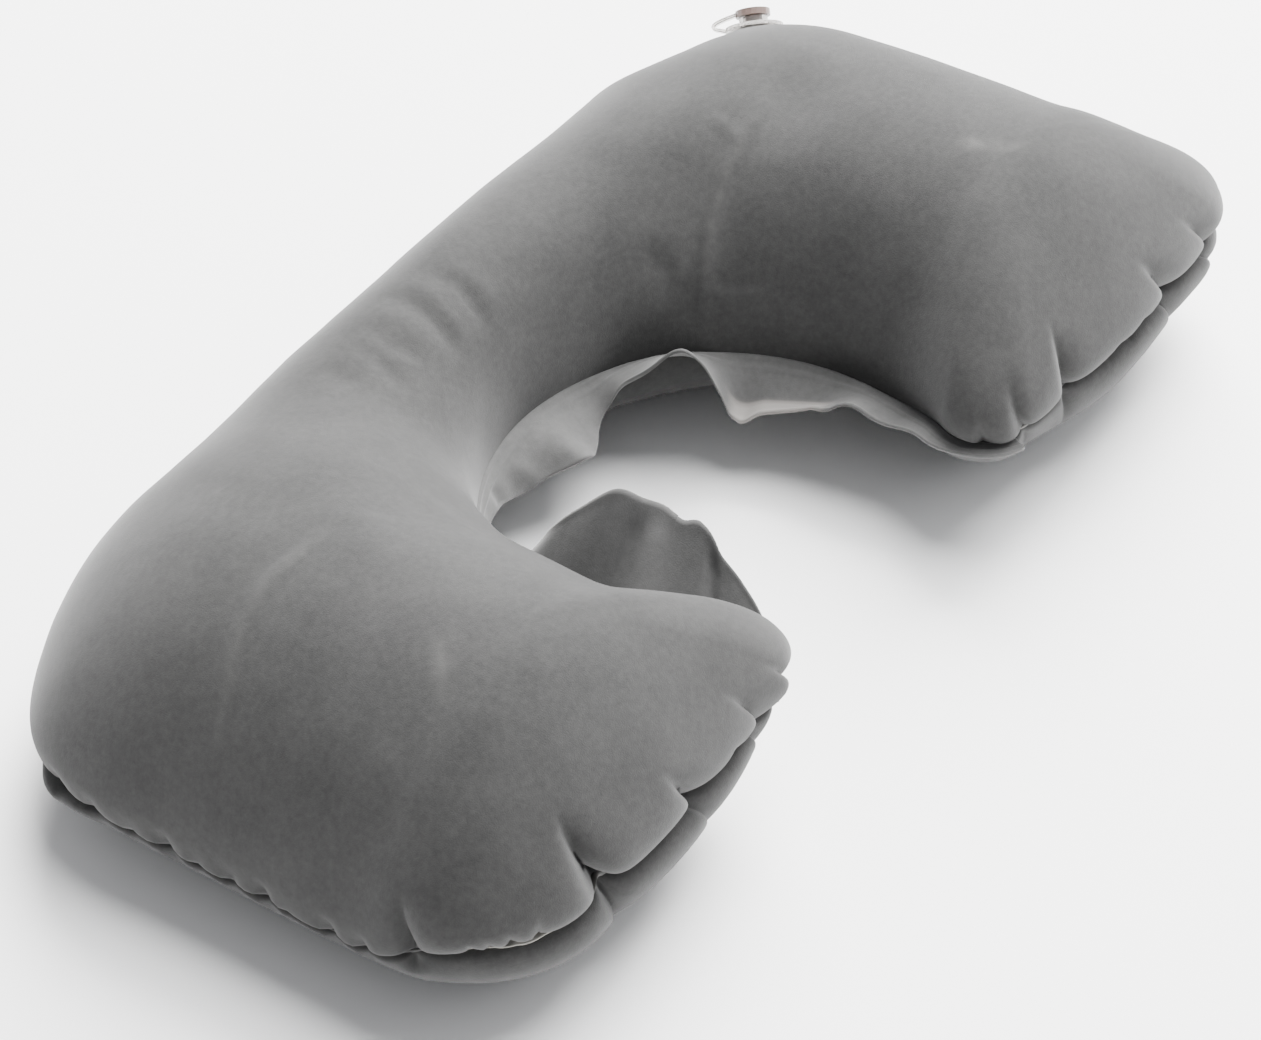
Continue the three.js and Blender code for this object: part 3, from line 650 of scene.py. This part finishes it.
def route_distance(points, route):
    """Distance seen from above to a route, and the share of the route's length at its nearest place."""
    route = np.asarray(route, float)
    steps = np.linalg.norm(np.diff(route, axis=0), axis=1)
    walked = np.r_[0, np.cumsum(steps)]
    best = np.full(points.shape[:-1], 1e9)
    place = np.zeros(points.shape[:-1])
    for k in range(len(route) - 1):
        a, b = route[k], route[k + 1]
        t = np.clip(((points[..., :2] - a) @ (b - a)) / steps[k] ** 2, 0, 1)
        gap = np.linalg.norm(points[..., :2] - (a + t[..., None] * (b - a)), axis=-1)
        nearer = gap < best
        best = np.where(nearer, gap, best)
        place = np.where(nearer, (walked[k] + t * steps[k]) / walked[-1], place)
    return best, place


def crease_height(points):
    height = np.zeros(points.shape[:-1])
    for row in CREASES:
        gap, place = route_distance(points, row["route"])
        ends = ramp(*CREASE_IN, place) * (1 - ramp(*CREASE_OUT, place))
        height += row["height"] * ends * np.exp(-(gap / row["half"]) ** 2)
    off = np.hypot(points[..., 0] - VALVE_SEAT["x"], points[..., 1] - VALVE_SEAT["y"])
    return height * (1 - np.exp(-(off / VALVE_SEAT["half"]) ** 4))


def scuff_and_highlight_share(places):
    """How far the flock is rubbed at some places, and how much painted highlight lies along the ridge lines.
    """
    share = np.zeros(len(places))
    for row in SCUFFS_AND_HIGHLIGHTS:
        gap, place = route_distance(places, row["route"])
        ends = ramp(*SCUFF_AND_HIGHLIGHT_IN, place) * (1 - ramp(*SCUFF_AND_HIGHLIGHT_OUT, place))
        share = np.maximum(share, row["share"] * ends * np.exp(-(gap / row["half"]) ** 2))
    grain = SCUFF_AND_HIGHLIGHT_EVEN + (1 - SCUFF_AND_HIGHLIGHT_EVEN) * noise(places, SCUFF_AND_HIGHLIGHT_GRAIN, SEED + 2)
    return np.clip(share * grain, 0, 1) * (places[:, 2] > SCUFF_AND_HIGHLIGHT_LOWEST)


def skin_normals(rows):
    """Normals of a grid of skin points whose columns run round the pillow."""
    around = np.roll(rows, -1, axis=1) - np.roll(rows, 1, axis=1)
    up = np.gradient(rows, axis=0)
    normal = np.cross(around, up)
    size = np.linalg.norm(normal, axis=-1, keepdims=True)
    return normal / np.maximum(size, 1e-9)


def detailed(rows, shares, is_top):
    """The skin with its creases and unevenness, moved along its normals and straight up at the ridge."""
    normal = skin_normals(rows)
    outward = np.array([0, 0, 1.0 if is_top else -1.0])
    flip = np.sign(np.mean(np.sum(normal[len(rows) // 2:] * outward, axis=-1)))
    normal = normal * flip
    to_ridge = ramp(*STRAIGHT_UP, np.asarray(shares))[:, None, None]
    normal = mix(normal, outward, to_ridge)
    normal /= np.linalg.norm(normal, axis=-1, keepdims=True)
    off_weld = ramp(*UNEVEN_IN, np.asarray(shares))[:, None]
    move = SWELL["height"] * noise(rows, SWELL["length"], SEED) * off_weld
    move = move + RIPPLE["height"] * noise(rows, RIPPLE["length"], SEED + 1) * off_weld
    if is_top:
        move = move + crease_height(rows) * ramp(*CREASES_IN, np.asarray(shares))[:, None]
    moved = rows + normal * move[..., None]
    if not is_top:
        settled = ramp(0, SETTLED_UNDER, rows[..., 2])
        moved = mix(rows, moved, settled[..., None])
        moved[..., 2] = np.maximum(moved[..., 2], 0)
    return moved


def grid_mesh(name, rows, loop, caps=False, tube=False):
    """An object from a grid of points in plan millimetres. Rows close on themselves where loop is set."""
    count, wide = rows.shape[:2]
    points = (rows.reshape(-1, 3) + SHIFT) * MM
    index = np.arange(count * wide).reshape(count, wide)
    if tube:
        index = np.vstack([index, index[:1]])
    if loop:
        index = np.hstack([index, index[:, :1]])
    quads = np.stack([index[:-1, :-1], index[:-1, 1:], index[1:, 1:], index[1:, :-1]], -1).reshape(-1, 4)
    faces = quads.tolist()
    if caps:
        faces.append(index[:count, 0].tolist())
        faces.append(index[:count, -1][::-1].tolist())
    mesh = bpy.data.meshes.new(name)
    mesh.from_pydata(points.tolist(), [], faces)
    form = bmesh.new()
    form.from_mesh(mesh)
    bmesh.ops.remove_doubles(form, verts=form.verts, dist=MERGE)
    bmesh.ops.dissolve_degenerate(form, edges=form.edges, dist=DEGENERATE)
    bmesh.ops.recalc_face_normals(form, faces=form.faces)
    form.to_mesh(mesh)
    form.free()
    mesh.shade_smooth()
    obj = bpy.data.objects.new(name, mesh)
    bpy.context.collection.objects.link(obj)
    return obj


def add_bare_and_highlight(piece, share_at):
    """Store on a piece's points how far its paler colour shows, for bare film, rubbed flock and painted
    highlights, from a function of places in plan millimetres.
    """
    points = np.zeros(len(piece.data.vertices) * 3)
    piece.data.vertices.foreach_get("co", points)
    bare_and_highlight = piece.data.attributes.new("bare_and_highlight", "FLOAT", "POINT")
    bare_and_highlight.data.foreach_set("value", share_at(points.reshape(-1, 3) / MM - SHIFT))


def make_chamber(spokes, gathers):
    steps = np.linspace(0, 1, TOP_ROWS + 1)[1:] ** ROW_BIAS
    top = detailed(skin(spokes, gathers, steps, True), steps, True)
    low_steps = np.linspace(0, 1, BELLY_ROWS + 1)[1:] ** ROW_BIAS
    belly = detailed(skin(spokes, gathers, low_steps, False), low_steps, False)
    foot, lift = drawn_feet(spokes, gathers)
    seam = seam_height(spokes) + lift
    edge = [np.column_stack([foot, seam + off]) for off in (-SEAM_FACE / 2, SEAM_FACE / 2)]
    rows = np.concatenate([belly[::-1], np.array(edge), top])
    chamber = grid_mesh("pillow_chamber", rows, loop=True)
    # Paler flock at two rubbed places, and painted highlights along the ridge lines
    add_bare_and_highlight(chamber, scuff_and_highlight_share)
    return chamber


def left_of(run):
    """Directions to the left of a run of points seen from above."""
    ahead = np.gradient(run, axis=0)
    left = np.column_stack([-ahead[:, 1], ahead[:, 0]])
    return left / np.linalg.norm(left, axis=1)[:, None]


def split_runs(spokes):
    """Index runs of the outer weld line and of the neck, parted a little way round each inner corner."""
    kind = spokes["kind"]
    count = len(kind)
    neck = np.where(kind == 2)[0]
    lead = int((INNER_TIP_FEET_MM + SKIRT_CORNER_MM) / TIP_STEP)
    neck_run = np.arange(neck[0] - lead, neck[-1] + lead + 1) % count
    outer_run = np.arange(neck[-1] + lead, neck[0] - lead + count + 1) % count
    return outer_run, neck_run


def bare_share(places):
    """From 0 where the weld's rim is flocked to 1 where its bare film shows."""
    share = np.zeros(len(places))
    for row in FLANGE_SHOWS:
        near = np.hypot(places[:, 0] - row["x"], places[:, 1] - row["y"]) / row["half"]
        share = np.maximum(share, np.exp(-near ** 4))
    return share


def make_flange(spokes, gathers, run):
    foot, lift = drawn_feet(spokes, gathers)
    foot, height = foot[run], (seam_height(spokes) + lift)[run]
    left = left_of(foot)
    walked = spokes["walked"][run]
    wave = sum(row["height"] * np.sin(walked / row["length"] + row["start"]) for row in FLANGE_BENDS)
    width = FLANGE_WIDTH + FLANGE_UNEVEN["height"] * np.sin(walked / FLANGE_UNEVEN["length"])
    for row in FLANGE_SHOWS:
        near = np.hypot(foot[:, 0] - row["x"], foot[:, 1] - row["y"]) / row["half"]
        width += row["width"] * np.exp(-near ** 4)
    run_in = walked - walked[0]
    run_in = np.minimum(run_in % spokes["total"], (walked[-1] - walked) % spokes["total"])
    width = FLANGE_END_WIDTH + (width - FLANGE_END_WIDTH) * ramp(0, FLANGE_END_TAPER, run_in)
    loops = []
    for off, up in FLANGE_SECTION:
        spread = np.maximum(off, 0) * width + np.minimum(off, 0)
        bend = wave * np.maximum(off, 0) ** 2
        place = foot + left * spread[:, None]
        loops.append(np.column_stack([place, height + up * FLANGE_THICK / 2 + bend]))
    flange = grid_mesh("pillow_flange", np.array(loops), loop=False, caps=True, tube=True)
    add_bare_and_highlight(flange, bare_share)
    return flange


def eased(table, key, at):
    """A smooth curve through a table's column: cubic pieces whose slopes come from the neighbours."""
    xs = np.array([row["at"] for row in table])
    ys = np.array([row[key] for row in table], float)
    slope = np.gradient(ys, xs)
    k = np.clip(np.searchsorted(xs, at, side="right") - 1, 0, len(xs) - 2)
    step = xs[k + 1] - xs[k]
    t = (at - xs[k]) / step
    h00, h10 = 2 * t ** 3 - 3 * t ** 2 + 1, t ** 3 - 2 * t ** 2 + t
    h01, h11 = -2 * t ** 3 + 3 * t ** 2, t ** 3 - t ** 2
    return h00 * ys[k] + h10 * step * slope[k] + h01 * ys[k + 1] + h11 * step * slope[k + 1]


def hem_highlight_share(places, loops, folded):
    """How much painted highlight the skirt has at some places: 1 on the turned hem, 0 elsewhere."""
    along = np.linspace(0, 1, SKIRT_STEPS + 1)
    fold = HEM_FOLD["along"]
    band = ramp(fold + HEM_HIGHLIGHT[0], fold + HEM_HIGHLIGHT[1], np.r_[along, along[::-1]])
    share = (band[:, None] * folded[None]).ravel()
    cells = KDTree(len(share))
    for k, point in enumerate(loops.reshape(-1, 3)):
        cells.insert(point, k)
    cells.balance()
    return np.array([share[cells.find(place)[1]] for place in places])


def skirt_folds(share, along):
    """How far the upright folds move the skirt, at shares of the way round and one share of the width."""
    move = 0
    for row in SKIRT_FOLDS:
        fade_in = ramp(row["low"], row["low"] + SKIRT_FOLD_IN, along)
        fade_out = 1 - ramp(row["high"] - SKIRT_FOLD_OUT, row["high"], along)
        move = move + row["depth"] * np.exp(-((share - row["at"]) / row["half"]) ** 2) * fade_in * fade_out
    return move


def make_skirt(spokes, run):
    """The skirt, its flat area in square metres, and its length along the weld in metres."""
    foot, height = spokes["foot"][run], seam_height(spokes)[run]
    walked = np.r_[0, np.cumsum(np.hypot(*np.diff(foot, axis=0).T))]
    share = 1 - (walked - SKIRT_CORNER_MM) / (walked[-1] - 2 * SKIRT_CORNER_MM)
    inward = left_of(foot)
    width = np.maximum(eased(SKIRT_WAVES, "width", share), SKIRT_NARROWEST)
    slope = np.radians(eased(SKIRT_WAVES, "slope", share))
    curl = np.radians(eased(SKIRT_WAVES, "curl", share))
    past_start = ramp(0, HEM_FOLD["start_over"], share - HEM_FOLD["start"])
    folded = past_start * ramp(0, HEM_FOLD["end_over"], HEM_FOLD["end"] - share)
    hem_turn = np.radians(HEM_FOLD["turn"]) * folded
    off = np.full(len(foot), -SKIRT_OVERLAP)
    up = np.zeros(len(foot))
    upper, lower = [], []
    for k in range(SKIRT_STEPS + 1):
        along = k / SKIRT_STEPS
        turned = ramp(HEM_FOLD["along"], HEM_FOLD["along"] + HEM_FOLD["bend"], along)
        turn = slope + curl * along + hem_turn * turned
        reach = along * width
        drift = RUFFLE["drift"] * np.sin(walked / RUFFLE["drift_length"])
        ruffle = RUFFLE["height"] * along * np.sin(walked / RUFFLE["length"] + drift)
        folds = skirt_folds(share, along)
        weld = sum(WELD_LINES["height"] * np.exp(-((reach - line) / WELD_LINES["half"]) ** 2)
                   for line in WELD_LINES["at"])
        hem = HEM_RISE * ramp(*HEM_EDGE, along)
        for side, rows in ((1, upper), (-1, lower)):
            out = side * (SKIRT_THICK / 2 + hem + (weld if side > 0 else 0)) + ruffle + folds
            place = foot + inward * (off - out * np.sin(turn))[:, None]
            rows.append(np.column_stack([place, height + up + out * np.cos(turn)]))
        off = off + width / SKIRT_STEPS * np.cos(turn)
        up = up + width / SKIRT_STEPS * np.sin(turn)
    loops = np.array(lower + upper[::-1])
    area = float(np.sum(width) * walked[-1] / len(width)) * MM * MM
    skirt = grid_mesh("neck_skirt_film", loops, loop=False, caps=True, tube=True)
    # The turned hem's paler colour is a painted highlight
    add_bare_and_highlight(skirt, lambda places: hem_highlight_share(places, loops, folded))
    return skirt, area, walked[-1] * MM


def make_strap():
    """The valve's strap with its ends run on to the stopper's head and the flange, and round edges."""
    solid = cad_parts["valve_tether"]
    mesh = bpy.data.meshes.new("valve_strap")
    form = bmesh.new()
    form.from_mesh(solid.data)
    form.transform(solid.matrix_world)
    bmesh.ops.remove_doubles(form, verts=form.verts, dist=STRAP_MERGE)
    bmesh.ops.recalc_face_normals(form, faces=form.faces)
    bmesh.ops.dissolve_limit(form, angle_limit=STRAP_FLATNESS, verts=form.verts, edges=form.edges)
    ends = [face for face in form.faces
            if len(face.edges) == 4 and all(edge.calc_face_angle() > SHARP_EDGE for edge in face.edges)]
    for face in ends:
        ahead = face.normal.copy()
        for vert in face.verts:
            vert.co += ahead * STRAP_RUN_ON
    sharp = [edge for edge in form.edges if edge.calc_face_angle() > SHARP_EDGE]
    bmesh.ops.bevel(form, geom=sharp, offset=STRAP_ROUND, segments=3, profile=0.5, affect="EDGES")
    form.to_mesh(mesh)
    form.free()
    mesh.shade_smooth()
    strap = bpy.data.objects.new("valve_strap", mesh)
    bpy.context.collection.objects.link(strap)
    return strap


def new_material(name):
    material = bpy.data.materials.new(name)
    material.use_nodes = True
    tree = material.node_tree
    return material, tree.nodes, tree.links, tree.nodes["Principled BSDF"]


def noise_node(nodes, links, scale, detail=2, roughness=0.5):
    """A noise in the object's own coordinates, in waves for each metre."""
    place = nodes.new("ShaderNodeTexCoord")
    texture = nodes.new("ShaderNodeTexNoise")
    texture.inputs["Scale"].default_value = scale
    texture.inputs["Detail"].default_value = detail
    texture.inputs["Roughness"].default_value = roughness
    links.new(place.outputs["Object"], texture.inputs["Vector"])
    return texture.outputs["Fac"]


def colour_node(nodes, links, share, dark, light, low=0, high=1):
    """A colour between two, by a share that starts to count at low and is full at high."""
    colours = nodes.new("ShaderNodeValToRGB")
    for element, at, colour in zip(colours.color_ramp.elements, (low, high), (dark, light)):
        element.position = at
        element.color = (*colour, 1)
    links.new(share, colours.inputs["Fac"])
    return colours.outputs["Color"]


def bare_and_highlight_node(nodes, links, flocked, bare_and_highlight):
    """A colour where flock lies, and another where it is rubbed off, where it never was, and where a painted
    highlight lies. Either may be a link.
    """
    share = nodes.new("ShaderNodeAttribute")
    share.attribute_name = "bare_and_highlight"
    cover = nodes.new("ShaderNodeMix")
    cover.data_type = "RGBA"
    links.new(share.outputs["Fac"], cover.inputs[0])
    for socket, colour in ((cover.inputs[6], flocked), (cover.inputs[7], bare_and_highlight)):
        if isinstance(colour, tuple):
            socket.default_value = (*colour, 1)
        else:
            links.new(colour, socket)
    return cover.outputs[2]


def bump_node(nodes, links, shader, height, strength, distance):
    bump = nodes.new("ShaderNodeBump")
    bump.inputs["Strength"].default_value = strength
    bump.inputs["Distance"].default_value = distance
    links.new(height, bump.inputs["Height"])
    links.new(bump.outputs["Normal"], shader.inputs["Normal"])


def flock_material(name, dark, light, bare_and_highlight, speckle=0.5):
    """Short velvety flock: two greys in soft clouds and fine specks, with a matte nap in the bump."""
    material, nodes, links, shader = new_material(name)
    clouds = noise_node(nodes, links, scale=34, detail=6, roughness=0.62)
    grain = noise_node(nodes, links, scale=420, detail=4, roughness=0.7)
    blend = nodes.new("ShaderNodeMix")
    blend.data_type = "FLOAT"
    blend.inputs[0].default_value = speckle
    links.new(clouds, blend.inputs[2])
    links.new(grain, blend.inputs[3])
    flock_colour = colour_node(nodes, links, blend.outputs[0], dark, light, low=0.33, high=0.68)
    links.new(bare_and_highlight_node(nodes, links, flock_colour, bare_and_highlight), shader.inputs["Base Color"])
    nap = noise_node(nodes, links, scale=2200, detail=3)
    bump_node(nodes, links, shader, nap, strength=0.2, distance=0.0005)
    shader.inputs["Roughness"].default_value = 0.92
    shader.inputs["Specular IOR Level"].default_value = 0.2
    shader.inputs["Sheen Weight"].default_value = 0.2
    shader.inputs["Sheen Roughness"].default_value = 0.45
    return material


def film_material(name, dark, light, flocked, roughness):
    """Smooth welded film with faint milky streaks, hidden by flock where its rim is not bare."""
    material, nodes, links, shader = new_material(name)
    streaks = noise_node(nodes, links, scale=160, detail=4)
    film_colour = colour_node(nodes, links, streaks, dark, light)
    links.new(bare_and_highlight_node(nodes, links, flocked, film_colour), shader.inputs["Base Color"])
    bump_node(nodes, links, shader, streaks, strength=0.25, distance=0.0004)
    shader.inputs["Roughness"].default_value = roughness
    return material


def clear_material(name, colour, roughness, clearness):
    """Soft vinyl that light passes through, with a faint haze in its colour."""
    material, nodes, links, shader = new_material(name)
    haze = noise_node(nodes, links, scale=220)
    shade = tuple(part * HAZE_SHADE for part in colour)
    links.new(colour_node(nodes, links, haze, shade, colour), shader.inputs["Base Color"])
    shader.inputs["Roughness"].default_value = roughness
    shader.inputs["Transmission Weight"].default_value = clearness
    shader.inputs["IOR"].default_value = VINYL_IOR
    return material


def wear(piece, material):
    piece.data.materials.clear()
    piece.data.materials.append(material)
    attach(piece, "root")


def make_stage():
    bpy.ops.mesh.primitive_plane_add(size=FLOOR_SIZE, location=(0, 0, 0))
    floor = bpy.context.object
    floor.name = "floor"
    material, _, _, shader = new_material("pale_floor")
    shader.inputs["Base Color"].default_value = FLOOR_COLOUR
    shader.inputs["Roughness"].default_value = FLOOR_ROUGHNESS
    floor.data.materials.append(material)


def add_light(name, place, size, power, colour):
    data = bpy.data.lights.new(name, "AREA")
    data.shape = "DISK"
    data.size = size
    data.energy = power
    data.color = colour
    lamp = bpy.data.objects.new(name, data)
    bpy.context.collection.objects.link(lamp)
    lamp.location = place
    aim = Vector(LIGHT_AIM) - lamp.location
    lamp.rotation_euler = aim.to_track_quat("-Z", "Y").to_euler()


def make_lights():
    for row in LIGHTS:
        add_light(**row)
    world = bpy.data.worlds.new("studio")
    bpy.context.scene.world = world
    world.use_nodes = True
    sky = world.node_tree.nodes["Background"]
    sky.inputs["Color"].default_value = SKY_COLOUR
    sky.inputs["Strength"].default_value = SKY_STRENGTH


def make_camera():
    azimuth, elevation = math.radians(CAMERA_AZIMUTH), math.radians(CAMERA_ELEVATION)
    back = Vector((math.sin(azimuth) * math.cos(elevation), -math.cos(azimuth) * math.cos(elevation),
                   math.sin(elevation)))
    right = Vector((math.cos(azimuth), math.sin(azimuth), 0))
    up = back.cross(right)
    target = Vector((SHIFT[0] * MM, SHIFT[1] * MM, CAMERA_TARGET_Z))
    scale = CAMERA_DISTANCE / CAMERA_FOCAL
    aside = right * (IMAGE_WIDTH / 2 - TARGET_PIXEL[0]) * scale
    below = up * (TARGET_PIXEL[1] - IMAGE_HEIGHT / 2) * scale
    data = bpy.data.cameras.new("camera")
    data.sensor_width = SENSOR_WIDTH
    data.lens = CAMERA_FOCAL / IMAGE_WIDTH * SENSOR_WIDTH
    data.clip_end = CLIP_END
    camera = bpy.data.objects.new("camera", data)
    bpy.context.collection.objects.link(camera)
    camera.location = target + back * CAMERA_DISTANCE
    aim = target + aside + below - camera.location
    camera.rotation_euler = aim.to_track_quat("-Z", "Y").to_euler()
    bpy.context.scene.camera = camera


make_camera()
make_lights()
make_stage()

# The pillow's flock; its paler colour is for the rubbed places and the painted highlights along the ridge
# lines
flock = flock_material("grey_flock", (0.0265, 0.0264, 0.0263), (0.0475, 0.0471, 0.0464),
                       (0.11, 0.108, 0.104))
# Painted light: the skirt is the pillow's flock in lighter greys, standing in for the light it catches; its
# paler colour is the painted highlight on the turned hem
skirt_flock_painted_lighter = flock_material("skirt_flock_painted_lighter", (0.068, 0.068, 0.067), (0.105, 0.104, 0.103),
                             (0.2, 0.19, 0.18), speckle=0.4)
weld_film = film_material("weld_film", (0.16, 0.155, 0.14), (0.24, 0.23, 0.21), (0.04, 0.04, 0.04), 0.6)
clear_vinyl = clear_material("clear_vinyl", (0.62, 0.6, 0.575), 0.2, 0.85)
rose_vinyl = clear_material("rose_vinyl", (0.24, 0.172, 0.152), 0.3, 0.4)

spokes = lay_out_spokes()
gathers = all_gathers(spokes)
outer_run, neck_run = split_runs(spokes)

chamber = make_chamber(spokes, gathers)
wear(chamber, flock)
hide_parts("chamber")

flange = make_flange(spokes, gathers, outer_run)
wear(flange, weld_film)
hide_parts("weld_flange")

skirt, skirt_area, skirt_length = make_skirt(spokes, neck_run)
wear(skirt, skirt_flock_painted_lighter)
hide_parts("neck_skirt")

strap = make_strap()
wear(strap, clear_vinyl)
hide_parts("valve_tether")

for node, material in (("valve_base", clear_vinyl), ("valve_plug", rose_vinyl)):
    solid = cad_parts[node]
    for slot in solid.material_slots:
        slot.material = material
